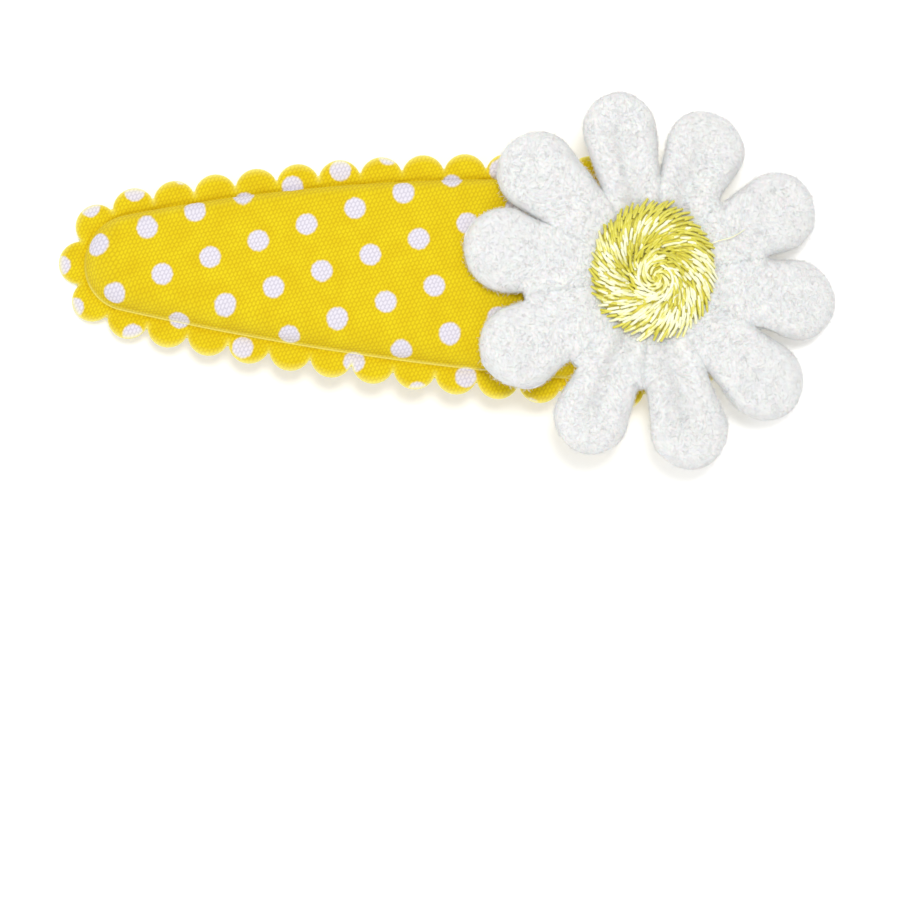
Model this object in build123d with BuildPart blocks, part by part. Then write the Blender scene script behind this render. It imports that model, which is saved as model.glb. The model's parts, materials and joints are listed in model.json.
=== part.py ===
from build123d import *

import math
import os

# A padded fabric snap clip with an embroidered daisy, lying on its back edge.
# +X runs from the narrow tip to the wide, flowered end, +Y across the clip, +Z away
# from the hair. The origin is under the middle of the whole object, on the table.
# Heights named "..._low" and "..._top" are measured along the arch's own normal, from
# the underside of the back fabric.

# Pocket outline, along the bonded seam
narrow_radius = 3.9
wide_radius = 8.0
end_spacing = 40.0

# Scalloped border outside the seam
scallop_count = 36
scallop_radius = 1.72
scallop_setout = 0.38

# Arch of the closed clip, and how far its soft ends flatten on the table
arch_radius = 80.0
rest_press = 0.25

# Cover
back_thick = 0.35
front_thick = 0.3
border_thick = 0.3
padding = 1.52
panel_crown_drop = 16 / 15
panel_shoulder = 1.2
pocket_clearance = 0.1

# Steel clip
steel = 0.5
frame_inset = 0.85
plate_gap = 0.03
rim_low = 0.45
rail_width = 2.4
window_from_tip = 9.5
window_to_tip = 41.0
window_corner = 0.8

# Tongue
root_low = 0.65
root_width = 8.0
root_end_gap = 1.2
blade_top = -0.1
blade_tip_gap = 7.0
blade_tip_radius = 2.5
blade_neck_width = 6.4
neck_from_tip = 42.3
neck_run = 1.5
neck_flat = 0.55
hinge_clearance = 0.06
slit_length = 14.0
slit_clearance = 0.16

# Rivet
rivet_from_tip = 47.7
rivet_radius = 0.8
rivet_head_radius = 1.5
rivet_head_thick = 0.35
rivet_tail_radius = 1.3
rivet_tail_thick = 0.22
rivet_clearance = 0.03

# Daisy: each petal is its end circle's angle in degrees, distance from the hub, and radius
petals = [
    (104.6, 12.1, 2.9),
    (70.0, 11.3, 3.1),
    (31.5, 11.6, 3.2),
    (-4.0, 11.8, 3.2),
    (-38.5, 12.0, 3.2),
    (-73.5, 12.3, 3.15),
    (-111.0, 12.1, 2.95),
    (-149.5, 11.7, 3.35),
    (172.5, 11.7, 3.4),
    (140.0, 12.3, 3.2),
]
daisy_from_tip = 47.6
petal_root_distance = 7.0
petal_root_radius = 2.3
petal_heel_radius = 1.0
petal_inner_radius = 3.15
petal_gap = 0.12
petal_thick = 1.4
backing_lift = 0.25
backing_thick = 0.3
backing_inset = 0.6
backing_hub_radius = 6.0
layer_gap = 0.05
glue_radius = 4.5
glue_gap = 0.02

# Yellow centre
centre_radius = 5.4
ring_width = 1.7
ring_gap = 0.12
ring_thick = 0.7
knot_thick = 0.9

# Worked out from the sizes above
border_reach = scallop_setout + scallop_radius
cover_length = narrow_radius + end_spacing + wide_radius + 2 * border_reach
daisy_reach = max(
    daisy_from_tip + distance * math.cos(math.radians(angle)) + radius
    for angle, distance, radius in petals
)
tip_x = -max(daisy_reach, cover_length) / 2
crown_x = tip_x + cover_length / 2
narrow_x = tip_x + border_reach + narrow_radius
wide_x = narrow_x + end_spacing
neck_x = tip_x + neck_from_tip
rivet_x = tip_x + rivet_from_tip
daisy_x = tip_x + daisy_from_tip
petal_tops = [d * math.sin(math.radians(a)) + r for a, d, r in petals]
petal_bottoms = [d * math.sin(math.radians(a)) - r for a, d, r in petals]
daisy_y = -(max(petal_tops) + min(petal_bottoms)) / 2

side_radius = (end_spacing**2 + wide_radius**2 - narrow_radius**2) / (
    2 * (wide_radius - narrow_radius)
)
side_drop = side_radius - wide_radius
side_lean = math.degrees(math.atan2(end_spacing, side_drop))

arch_z = -math.sqrt(arch_radius**2 - (cover_length / 2) ** 2) - rest_press
headroom = 30.0
arch_width = 60.0
arch_axis = Location((crown_x, 0, arch_z), (90, 0, 0))

border_top = back_thick + border_thick
root_top = root_low + steel
frame_low = root_top + plate_gap
frame_top = frame_low + steel
panel_top = frame_top + padding
panel_crown_radius = wide_radius**2 / (2 * panel_crown_drop)
backing_low = panel_top + backing_lift
blade_low = blade_top - steel
foam_low = frame_top + pocket_clearance / 2
foam_inset = front_thick + pocket_clearance
foam_top = panel_top - foam_inset
rivet_head_top = frame_top + rivet_clearance + rivet_head_thick
petal_low = backing_low + backing_thick + layer_gap
petal_top = petal_low + petal_thick
ring_low = petal_top + layer_gap

os.makedirs("parts", exist_ok=True)


def arch_point(x, height):
    """The place above x at a height over the back fabric, and the arch's slope there."""
    lean = math.asin((x - crown_x) / (arch_radius + height))
    z = arch_z + (arch_radius + height) * math.cos(lean)
    return (x, 0, z), lean


def arch_plane(x):
    """A plane that lies on the back fabric's underside at x, with its normal outwards."""
    place, lean = arch_point(x, 0)
    tangent = (math.cos(lean), 0, -math.sin(lean))
    return Plane(origin=place, x_dir=tangent, z_dir=(math.sin(lean), 0, math.cos(lean)))


def side_plane(x):
    """A plane across the clip at x, with X along the arch and Y outwards from it."""
    place, lean = arch_point(x, 0)
    return Plane(origin=place, x_dir=(math.cos(lean), 0, -math.sin(lean)), z_dir=(0, -1, 0))


def follow_arch(low, top):
    """Keeps what lies between two heights, so that a flat outline becomes an arched sheet."""
    with Locations(arch_axis):
        Cylinder(arch_radius + top, arch_width, mode=Mode.INTERSECT)
        Cylinder(arch_radius + low, arch_width, mode=Mode.SUBTRACT)


def crown(top, mode):
    """The padded panel's outer surface: arched along the clip and crowned across it."""
    with Locations(arch_axis):
        Torus(arch_radius + top - panel_crown_radius, panel_crown_radius, mode=mode)


def half_teardrop(grow):
    """The +Y half of the pocket's outline moved outwards by grow, from the tip round."""
    with BuildLine() as line:
        CenterArc((narrow_x, 0), narrow_radius + grow, 180, side_lean - 90)
        CenterArc((wide_x, -side_drop), side_radius + grow, 90 + side_lean, -side_lean)
        CenterArc((wide_x, 0), wide_radius + grow, 90, -90)
    return line


def teardrop(grow):
    """The pocket's whole outline as a face, moved outwards by grow."""
    with BuildSketch() as outline:
        with BuildLine():
            add(half_teardrop(grow).line)
            mirror(about=Plane.XZ)
        make_face()
    return outline.sketch


def petal_outline(angle, distance, radius):
    """A petal in the daisy's own plane, from its narrow root to its round end."""
    with BuildSketch() as outline:
        with PolarLocations(petal_root_distance, 1, start_angle=angle):
            Circle(petal_root_radius)
        with PolarLocations(petal_inner_radius + petal_heel_radius, 1, start_angle=angle):
            Circle(petal_heel_radius)
        with PolarLocations(distance, 1, start_angle=angle):
            Circle(radius)
        make_hull()
    return outline.sketch


# Flat outlines

scallop_line = half_teardrop(scallop_setout).wires()[0]
half_count = scallop_count // 2

with BuildSketch() as cover_outline:
    add(teardrop(scallop_setout / 2))
    with Locations(*[scallop_line @ (i / half_count) for i in range(half_count + 1)]):
        Circle(scallop_radius)
    mirror(about=Plane.XZ)

with BuildSketch() as rim_outline:
    add(teardrop(-frame_inset))
    add(teardrop(-frame_inset - steel), mode=Mode.SUBTRACT)

with BuildSketch() as window_outline:
    add(teardrop(-frame_inset - rail_width))
    with Locations((tip_x + (window_from_tip + window_to_tip) / 2, 0)):
        Rectangle(window_to_tip - window_from_tip, 2 * wide_radius, mode=Mode.INTERSECT)
    fillet(window_outline.vertices(), window_corner)

with BuildSketch() as slit_outline:
    with Locations((neck_x, 0)):
        SlotOverall(slit_length, neck_run + 2 * slit_clearance, rotation=90)

# Cover

with BuildPart() as back_fabric:
    extrude(cover_outline.sketch, amount=headroom)
    extrude(slit_outline.sketch, amount=headroom, mode=Mode.SUBTRACT)
    follow_arch(0, back_thick)
back_fabric.part.label = "back_fabric"
export_step(back_fabric.part, "parts/back_fabric.step")

with BuildPart() as panel:
    extrude(teardrop(0), amount=headroom)
    crown(panel_top, Mode.INTERSECT)
    fillet(panel.faces().filter_by(GeomType.TORUS).edges(), panel_shoulder)

with BuildPart() as cavity:
    extrude(teardrop(-front_thick), amount=headroom)
    crown(panel_top - front_thick, Mode.INTERSECT)
    fillet(cavity.faces().filter_by(GeomType.TORUS).edges(), panel_shoulder - front_thick)

with BuildPart() as front_fabric:
    extrude(cover_outline.sketch, amount=headroom)
    follow_arch(back_thick, border_top)
    add(panel.part)
    add(cavity.part, mode=Mode.SUBTRACT)
    with Locations(arch_axis):
        Cylinder(arch_radius + back_thick, arch_width, mode=Mode.SUBTRACT)
front_fabric.part.label = "front_fabric"
export_step(front_fabric.part, "parts/front_fabric.step")

with BuildPart() as foam_pad:
    extrude(teardrop(-foam_inset), amount=headroom)
    crown(foam_top, Mode.INTERSECT)
    fillet(foam_pad.faces().filter_by(GeomType.TORUS).edges(), panel_shoulder - foam_inset)
    with Locations(arch_axis):
        Cylinder(arch_radius + foam_low, arch_width, mode=Mode.SUBTRACT)
    with BuildSketch(arch_plane(rivet_x)):
        Circle(rivet_head_radius + pocket_clearance)
    extrude(amount=rivet_head_top + pocket_clearance, mode=Mode.SUBTRACT)
foam_pad.part.label = "foam_pad"
export_step(foam_pad.part, "parts/foam_pad.step")

# Steel clip

with BuildPart() as rim:
    extrude(rim_outline.sketch, amount=headroom)
    follow_arch(rim_low, frame_low)

with BuildPart() as clip_frame:
    extrude(teardrop(-frame_inset), amount=headroom)
    extrude(window_outline.sketch, amount=headroom, mode=Mode.SUBTRACT)
    follow_arch(frame_low, frame_top)
    add(rim.part)
    with BuildSketch(arch_plane(rivet_x)):
        Circle(rivet_radius + rivet_clearance)
    extrude(amount=frame_top + steel, mode=Mode.SUBTRACT)
clip_frame.part.label = "clip_frame"
export_step(clip_frame.part, "parts/clip_frame.step")

# Tongue: the root lies under the frame, steps down through the slit and ends at the
# neck's bend line, where the blade starts

rise = root_low - blade_low
slant = math.hypot(neck_run, rise)
overlap = steel * (slant - neck_run) / rise
half_run = neck_run / 2
hinge_along = -half_run - neck_flat
root_start = hinge_along + steel / 2 + hinge_clearance
hinge_height = blade_low + steel / 2
neck_lean = math.asin((neck_x - crown_x) / arch_radius)
hinge_x = neck_x + hinge_along * math.cos(neck_lean) + hinge_height * math.sin(neck_lean)
hinge_z = arch_point(hinge_x, hinge_height)[0][2]
root_end_x = wide_x + wide_radius - frame_inset - steel - root_end_gap
root_bend_x = neck_x + half_run

with BuildPart() as tongue_root:
    with BuildSketch():
        with Locations(((root_bend_x + root_end_x) / 2, 0)):
            RectangleRounded(root_end_x - root_bend_x, root_width, root_width / 4)
        with Locations((root_bend_x + root_width / 4, 0)):
            Rectangle(root_width / 2, blade_neck_width)
    extrude(amount=headroom)
    follow_arch(root_low, root_top)
    with BuildSketch(side_plane(neck_x)):
        with BuildLine():
            Polyline(
                (root_start, blade_low),
                (overlap - half_run, blade_low),
                (half_run + overlap, root_low),
                (half_run + steel, root_low),
                (half_run + steel, root_top),
                (half_run, root_top),
                (-half_run, blade_top),
                (root_start, blade_top),
                close=True,
            )
        make_face()
    extrude(amount=blade_neck_width / 2, both=True)
    with BuildSketch(arch_plane(rivet_x)):
        Circle(rivet_radius + rivet_clearance)
    extrude(amount=root_top + steel, mode=Mode.SUBTRACT)
tongue_root.part.label = "tongue_root"
export_step(tongue_root.part, "parts/tongue_root.step")

blade_tip_x = tip_x + blade_tip_gap + blade_tip_radius
with BuildPart() as tongue_blade:
    with BuildSketch():
        with BuildLine():
            Polyline(
                (hinge_x, blade_neck_width / 2),
                (hinge_x, -blade_neck_width / 2),
                (blade_tip_x, -blade_tip_radius),
                (blade_tip_x, blade_tip_radius),
                close=True,
            )
        make_face()
        with Locations((blade_tip_x, 0)):
            Circle(blade_tip_radius)
    extrude(amount=headroom)
    follow_arch(blade_low, blade_top)
    with Locations((hinge_x, 0, hinge_z)):
        Cylinder(steel / 2, blade_neck_width, rotation=(90, 0, 0))
tongue_blade.part.label = "tongue_blade"
export_step(tongue_blade.part, "parts/tongue_blade.step")

with BuildPart() as clip_rivet:
    with BuildSketch(arch_plane(rivet_x).offset(root_low - rivet_clearance)):
        Circle(rivet_tail_radius)
    extrude(amount=-rivet_tail_thick)
    with BuildSketch(arch_plane(rivet_x).offset(root_low - rivet_clearance)):
        Circle(rivet_radius)
    extrude(amount=frame_top - root_low + 2 * rivet_clearance)
    with BuildSketch(arch_plane(rivet_x).offset(frame_top + rivet_clearance)):
        Circle(rivet_head_radius)
    extrude(amount=rivet_head_thick)
    fillet(clip_rivet.edges().sort_by(Axis.Z)[-1], rivet_head_thick / 2)
clip_rivet.part.label = "clip_rivet"
export_step(clip_rivet.part, "parts/clip_rivet.step")

# Daisy, glued to the crown of the panel and bent with it

with BuildPart() as glue_pad:
    with BuildSketch():
        with Locations((daisy_x, daisy_y)):
            Circle(glue_radius)
    extrude(amount=headroom)
    with Locations(arch_axis):
        Cylinder(arch_radius + backing_low - glue_gap, arch_width, mode=Mode.INTERSECT)
    crown(panel_top + glue_gap, Mode.SUBTRACT)
glue_pad.part.label = "glue_pad"
export_step(glue_pad.part, "parts/glue_pad.step")

with BuildPart() as daisy_backing:
    with BuildSketch():
        with Locations((daisy_x, daisy_y)):
            Circle(backing_hub_radius)
            for angle, distance, radius in petals:
                add(petal_outline(angle, distance, radius - backing_inset))
    extrude(amount=headroom)
    follow_arch(backing_low, backing_low + backing_thick)
daisy_backing.part.label = "daisy_backing"
export_step(daisy_backing.part, "parts/daisy_backing.step")

for number, (angle, distance, radius) in enumerate(petals, start=1):
    before = (petals[number - 2][0] - angle) % 360
    after = (angle - petals[number % len(petals)][0]) % 360
    reach = 2 * distance
    left = math.radians(angle + before / 2)
    right = math.radians(angle - after / 2)
    stand_off = petal_gap / 2 / math.sin((left - right) / 2)
    middle = math.radians(angle)
    with BuildPart() as petal:
        with BuildSketch():
            with Locations((daisy_x, daisy_y)):
                add(petal_outline(angle, distance, radius))
                Circle(petal_inner_radius, mode=Mode.SUBTRACT)
            start_x = daisy_x + stand_off * math.cos(middle)
            start_y = daisy_y + stand_off * math.sin(middle)
            with Locations((start_x, start_y)):
                Polygon(
                    (0, 0),
                    (reach * math.cos(right), reach * math.sin(right)),
                    (reach * math.cos(left), reach * math.sin(left)),
                    align=None,
                    mode=Mode.INTERSECT,
                )
        extrude(amount=headroom)
        follow_arch(petal_low, petal_top)
    petal.part.label = f"petal_{number:02d}"
    export_step(petal.part, f"parts/petal_{number:02d}.step")

# Yellow centre

with BuildPart() as centre_underlay:
    with BuildSketch():
        with Locations((daisy_x, daisy_y)):
            Circle(petal_inner_radius - petal_gap)
    extrude(amount=headroom)
    follow_arch(petal_low, petal_top)
centre_underlay.part.label = "centre_underlay"
export_step(centre_underlay.part, "parts/centre_underlay.step")

inner_radius = centre_radius - ring_width - ring_gap
for name, outer in (("centre_outer_ring", centre_radius), ("centre_inner_ring", inner_radius)):
    with BuildPart() as ring:
        with BuildSketch():
            with Locations((daisy_x, daisy_y)):
                Circle(outer)
                Circle(outer - ring_width, mode=Mode.SUBTRACT)
        extrude(amount=headroom)
        follow_arch(ring_low, ring_low + ring_thick)
    ring.part.label = name
    export_step(ring.part, f"parts/{name}.step")

with BuildPart() as centre_knot:
    with BuildSketch():
        with Locations((daisy_x, daisy_y)):
            Circle(inner_radius - ring_width - ring_gap)
    extrude(amount=headroom)
    follow_arch(ring_low, ring_low + knot_thick)
centre_knot.part.label = "centre_knot"
export_step(centre_knot.part, "parts/centre_knot.step")
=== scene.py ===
import json
import math
import random
from functools import partial

import bmesh
import bpy
import numpy as np
from mathutils import Matrix, Vector, noise

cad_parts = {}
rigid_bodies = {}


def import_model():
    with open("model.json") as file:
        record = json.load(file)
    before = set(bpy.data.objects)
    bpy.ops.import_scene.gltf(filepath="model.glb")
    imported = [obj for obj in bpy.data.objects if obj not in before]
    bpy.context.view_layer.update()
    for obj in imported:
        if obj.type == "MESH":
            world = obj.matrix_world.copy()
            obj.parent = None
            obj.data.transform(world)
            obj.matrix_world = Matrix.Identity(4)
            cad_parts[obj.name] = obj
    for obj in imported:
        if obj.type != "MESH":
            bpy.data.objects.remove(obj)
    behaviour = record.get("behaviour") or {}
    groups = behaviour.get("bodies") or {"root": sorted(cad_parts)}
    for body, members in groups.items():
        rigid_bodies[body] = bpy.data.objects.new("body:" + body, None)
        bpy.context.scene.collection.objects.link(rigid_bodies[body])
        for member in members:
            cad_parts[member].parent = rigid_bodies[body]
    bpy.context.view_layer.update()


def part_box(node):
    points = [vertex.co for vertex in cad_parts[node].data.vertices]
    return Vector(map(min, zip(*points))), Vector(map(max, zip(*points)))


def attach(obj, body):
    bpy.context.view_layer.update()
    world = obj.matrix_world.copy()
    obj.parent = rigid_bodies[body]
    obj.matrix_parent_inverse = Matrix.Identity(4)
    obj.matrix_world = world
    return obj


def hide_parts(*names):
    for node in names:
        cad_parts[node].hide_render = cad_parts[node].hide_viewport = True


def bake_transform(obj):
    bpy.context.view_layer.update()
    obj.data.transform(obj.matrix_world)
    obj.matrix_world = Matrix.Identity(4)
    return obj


bl_info = {
    "name": "Daisy Snap Clip",
    "version": (1, 0, 0),
    "blender": (4, 5, 0),
    "location": "View3D > Sidebar > Daisy Clip",
    "description": "Builds a padded fabric snap clip with an embroidered daisy around its CAD frame",
    "category": "Object",
}

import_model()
MM = 0.001

# The steel's places, from the narrow tip of the cover
TONGUE_TIP = 7 * MM
HINGE = 40.9584 * MM
NECK = 42.3 * MM
ROOT = 43.05 * MM
RIVET = 47.7 * MM


# ---------------------------------------------------------------- settings


def length(name, description, default_mm):
    """A length property, given in millimetres and kept in metres."""
    return bpy.props.FloatProperty(
        name=name, description=description, default=default_mm * MM, precision=5,
        unit="LENGTH", subtype="DISTANCE",
    )


def turn(name, description, degrees):
    """An angle property, given in degrees and kept in radians."""
    return bpy.props.FloatProperty(
        name=name, description=description, default=math.radians(degrees), subtype="ANGLE",
    )


def colour(name, description, default):
    """A colour property, kept as a hex value in sRGB."""
    return bpy.props.StringProperty(name=name, description=description, default=default)


class ClipCoverSettings(bpy.types.PropertyGroup):
    """Sizes and colours of the padded fabric cover"""

    narrow_radius: length("Narrow end", "Radius of the seam at the narrow end", 3.9)
    wide_radius: length("Wide end", "Radius of the seam at the wide end", 8.0)
    scallop_count: bpy.props.IntProperty(
        name="Scallops", description="Scallops round the border", default=36,
    )
    scallop_radius: length("Scallop", "Radius of one scallop", 1.72)
    scallop_setout: length("Setout", "How far scallop centres stand outside the seam", 0.38)
    arch_radius: length("Arch", "Radius of the closed clip's arch, to the back fabric", 80.0)
    back_thick: length("Back", "Thickness of the back fabric", 0.35)
    front_thick: length("Front", "Thickness of the front fabric", 0.3)
    panel_top: length("Crown", "Height of the padded panel over the back", 3.2)
    panel_crown: length("Crown radius", "Radius of the panel's curve across the clip", 30.0)
    shoulder: length("Shoulder", "How far inside the seam the padding reaches its height", 1.7)
    fine_thread: length("Warp pitch", "Spacing of the closer threads", 0.266)
    coarse_thread: length("Weft pitch", "Spacing of the wider threads", 0.416)
    weave_angle: turn("Weave angle", "Turn of the weave from the clip's axis", -24.7)
    dot_pitch: length("Dot pitch", "Spacing of the dots along a row", 4.047)
    dot_row: length("Row pitch", "Spacing of the rows of dots", 3.938)
    dot_radius: length("Dot radius", "Radius of a printed dot", 0.84)
    dot_angle: turn("Dot angle", "Turn of the rows of dots from the clip's axis", 20.7)
    dot_from_tip: length("First dot", "Distance of one dot from the narrow tip", 20.02)
    dot_off_axis: length("First dot off axis", "Distance of that dot from the axis", 3.21)
    yellow: colour("Yellow", "Printed ground of the cotton", "#EAD716")
    dot: colour("Dots", "Printed dots", "#E2DDE6")


class ClipDaisySettings(bpy.types.PropertyGroup):
    """Sizes and colours of the embroidered daisy"""

    petal_low: length("Petal base", "Height of the petals' underside", 3.8)
    petal_top: length("Petal top", "Height of the petals' top", 5.3)
    petal_inner: length("Petal root", "Distance of the petals' roots from the hub", 3.15)
    petal_gap: length("Petal gap", "Gap between petals, below 0 where they overlap", -0.06)
    rib_pitch: length("Rib pitch", "Spacing of the satin stitch ribs", 0.42)
    fibre_length: length("Pile", "Length of the brushed-up fibres", 0.21)
    thread: length("Thread", "Width of one rayon stitch", 0.25)
    white: colour("White", "Brushed white thread", "#EAEAE8")
    rayon: colour("Rayon", "Yellow rayon thread", "#FDFAC8")


class ClipStageSettings(bpy.types.PropertyGroup):
    """Camera and lights"""

    elevation: turn("Elevation", "Camera's height over the horizon", 86)
    roll: turn("Roll", "Camera's turn about its own axis", 2.5)
    distance: length("Distance", "Camera's distance", 450.0)
    lens: bpy.props.FloatProperty(name="Lens", description="Focal length in mm", default=225.7)
    floor: colour("Floor", "Plain pale floor", "#F7F7F6")


def settings(group):
    """The settings of one group: cover, daisy or stage."""
    return getattr(bpy.context.scene, f"clip_{group}")


# ---------------------------------------------------------------- materials


def linear(hex_value):
    """An sRGB hex colour as a linear RGBA."""
    digits = hex_value.lstrip("#")
    parts = [int(digits[i : i + 2], 16) / 255 for i in (0, 2, 4)]
    return (*[c / 12.92 if c <= 0.04045 else ((c + 0.055) / 1.055) ** 2.4 for c in parts], 1.0)


def add(tree, kind, inputs=None, **props):
    """Adds a node, sets its properties, and sets or links its sockets.

    A shader node's kind leaves out "ShaderNode", and a node given to a socket means its first
    output.
    """
    new = tree.nodes.new(kind if "Node" in kind else f"ShaderNode{kind}")
    for name, value in props.items():
        setattr(new, name, value)
    for socket, value in (inputs or {}).items():
        if isinstance(value, bpy.types.Node):
            value = value.outputs[0]
        if isinstance(value, bpy.types.NodeSocket):
            tree.links.new(value, new.inputs[socket])
        else:
            new.inputs[socket].default_value = value
    return new


def shade(tree, inputs, relief=None, strength=0.0, depth=0.0):
    """Ends a material with its shader's inputs, over a bump whose depth is in mm."""
    if relief is not None:
        bump = {"Strength": strength, "Distance": depth * MM, "Height": relief}
        inputs = {**inputs, "Normal": add(tree, "Bump", bump)}
    add(tree, "OutputMaterial", {"Surface": add(tree, "BsdfPrincipled", inputs)})


def mottle(tree, size, detail, low, high, contrast=False):
    """Two tones in soft patches of a size in mm; returns them, the patches and the place."""
    place = add(tree, "TexCoord").outputs["Object"]
    patches = add(tree, "TexNoise", {"Vector": place, "Scale": 1 / (size * MM), "Detail": detail})
    share = patches
    if contrast:
        share = add(tree, "MapRange", {"Value": patches, "From Min": 0.35, "From Max": 0.65})
    ends = {6: linear(low), 7: linear(high)}
    tones = add(tree, "Mix", {"Factor": share, **ends}, data_type="RGBA").outputs[2]
    return tones, patches, place


def printed_cotton(tree):
    """Printed cotton, plain woven: matt threads with painted shade in the gaps between them, a
    pigment print on top.
    """
    cover = settings("cover")
    place = add(tree, "UVMap", uv_map="cloth").outputs[0]
    drift = {"Vector": place, "Scale": 1 / (1.2 * MM), "Detail": 4.0, "Roughness": 0.75}
    wander = add(tree, "TexNoise", drift).outputs["Color"]
    astray = {0: wander, 1: (0.24 * MM, 0.24 * MM, 0), 2: place}
    loose = add(tree, "VectorMath", astray, operation="MULTIPLY_ADD")

    # The weave: a bump for every crossing. Threads cross over and under, so each run of
    # crossings is half a step from the next.
    angle = {"Vector": loose, "Angle": -cover.weave_angle}
    turned = add(tree, "VectorRotate", angle, rotation_type="Z_AXIS")
    warp, weft, _ = add(tree, "SeparateXYZ", {0: turned}).outputs
    column = add(tree, "Math", {0: warp, 1: 1 / cover.fine_thread}, operation="MULTIPLY")
    number = add(tree, "Math", {0: column}, operation="FLOOR")
    half_step = {0: number, 1: cover.coarse_thread / 2, 2: weft}
    stepped = add(tree, "Math", half_step, operation="MULTIPLY_ADD")
    waves = []
    for across, pitch, power in (
        (warp, cover.fine_thread, 0.7), (stepped, cover.coarse_thread, 0.6),
    ):
        phase = add(tree, "Math", {0: across, 1: math.pi / pitch}, operation="MULTIPLY")
        wave = add(tree, "Math", {0: phase}, operation="SINE")
        crest = add(tree, "Math", {0: wave}, operation="ABSOLUTE")
        waves.append(add(tree, "Math", {0: crest, 1: power}, operation="POWER"))
    weave = add(tree, "Math", {0: waves[0], 1: waves[1]}, operation="MULTIPLY")

    # The print: round dots on a square grid, with a slightly ragged edge
    origin = (-(CLIP["tip_x"] + cover.dot_from_tip), -cover.dot_off_axis, 0)
    moved = add(tree, "VectorMath", {0: place, 1: origin}, operation="ADD")
    angle = {"Vector": moved, "Angle": -cover.dot_angle}
    lattice = add(tree, "VectorRotate", angle, rotation_type="Z_AXIS")
    pitch = (cover.dot_pitch, cover.dot_row, 1)
    per_cell = {0: lattice, 1: [1 / size for size in pitch], 2: (0.5, 0.5, 0)}
    cells = add(tree, "VectorMath", per_cell, operation="MULTIPLY_ADD")
    part = add(tree, "VectorMath", {0: cells}, operation="FRACTION")
    about_middle = {0: part, 1: pitch, 2: (-pitch[0] / 2, -pitch[1] / 2, 0)}
    centred = add(tree, "VectorMath", about_middle, operation="MULTIPLY_ADD")
    away = add(tree, "VectorMath", {0: centred}, operation="LENGTH").outputs["Value"]
    ragged = add(tree, "TexNoise", {"Vector": place, "Scale": 1 / (0.3 * MM), "Detail": 1.0})
    rough_away = add(tree, "Math", {0: ragged, 1: 0.16 * MM, 2: away}, operation="MULTIPLY_ADD")
    edge, blur = cover.dot_radius + 0.08 * MM, 0.1 * MM
    fade = {"From Min": edge - blur, "From Max": edge + blur, "To Min": 1.0, "To Max": 0.0}
    dots = add(tree, "MapRange", {"Value": rough_away, **fade}, interpolation_type="SMOOTHSTEP")

    # The die crushes the cut edge, where the print cracks and pale fibre shows. The same pale tone
    # is a painted highlight along the pressed ridge beside the seam
    patchy = add(tree, "TexNoise", {"Vector": place, "Scale": 1 / (1.6 * MM), "Detail": 5.0})
    # Painted shade between the threads: where the weave is low, the colour goes up to halfway toward
    # a darker tone
    span = {"From Min": 0.1, "From Max": 0.85, "To Min": 0.5, "To Max": 1.0}
    weave_shade = add(tree, "MapRange", {"Value": weave, **span})
    rim = add(tree, "Attribute", attribute_name="rim").outputs["Fac"]
    tones = {}
    for name, share, low, high in (
        ("ground", patchy, "#D6B600", cover.yellow), ("weave shaded ground", weave_shade, "#B48C00", "ground"),
        ("weave shaded dots", weave_shade, "#A8A2B6", cover.dot), ("print", dots, "weave shaded ground", "weave shaded dots"),
        ("cloth", rim, "print", "#F6EE8A"),
    ):
        low, high = [tones[end] if end in tones else linear(end) for end in (low, high)]
        mixed = add(tree, "Mix", {"Factor": share, 6: low, 7: high}, data_type="RGBA")
        tones[name] = mixed.outputs[2]
    lint = add(tree, "TexNoise", {"Vector": place, "Scale": 1 / (0.09 * MM), "Detail": 2.0})
    relief = add(tree, "Math", {0: lint, 1: 0.3, 2: weave}, operation="MULTIPLY_ADD")
    shade(tree, {
        "Base Color": tones["cloth"], "Roughness": 0.82, "Specular IOR Level": 0.2,
        "Sheen Weight": 0.02, "Sheen Roughness": 0.5,
    }, relief, 0.42, 0.05)


def brushed_thread(tree):
    """White polyester thread, satin stitched and brushed: a soft pile that scatters light."""
    body, clumps, place = mottle(tree, 0.8, 3.0, "#E6E6E6", settings("daisy").white, True)
    pile = add(tree, "TexNoise", {"Vector": place, "Scale": 1 / (0.09 * MM), "Detail": 3.0})
    both = add(tree, "Math", {0: clumps, 1: 1.5, 2: pile}, operation="MULTIPLY_ADD")
    shade(tree, {
        "Base Color": body, "Roughness": 0.9, "Specular IOR Level": 0.1,
        "Sheen Weight": 0.35, "Sheen Roughness": 0.6,
        "Subsurface Weight": 0.15, "Subsurface Scale": 0.4 * MM,
    }, both, 0.3, 0.05)


def rayon_thread(tree, low="#E4DF6A", high=None):
    """Bright rayon embroidery thread: silky stitches that flash where they face the light."""
    body, _, place = mottle(tree, 0.5, 2.0, low, high or settings("daisy").rayon, True)
    strands = add(tree, "TexNoise", {"Vector": place, "Scale": 1 / (0.05 * MM), "Detail": 1.0})
    shade(tree, {
        "Base Color": body, "Roughness": 0.35, "Specular IOR Level": 0.6, "Coat Weight": 0.4,
        "Coat Roughness": 0.18, "Sheen Weight": 0.3, "Sheen Roughness": 0.3,
    }, strands, 0.35, 0.03)


def golden_underlay(tree):
    """Rayon underlay stitches, sunk between the bright ones: deeper gold, hardly any shine."""
    body, patches, _ = mottle(tree, 0.3, 2.0, "#E0D240", "#ECE262")
    shade(tree, {"Base Color": body, "Roughness": 0.55}, patches, 0.5, 0.06)


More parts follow.
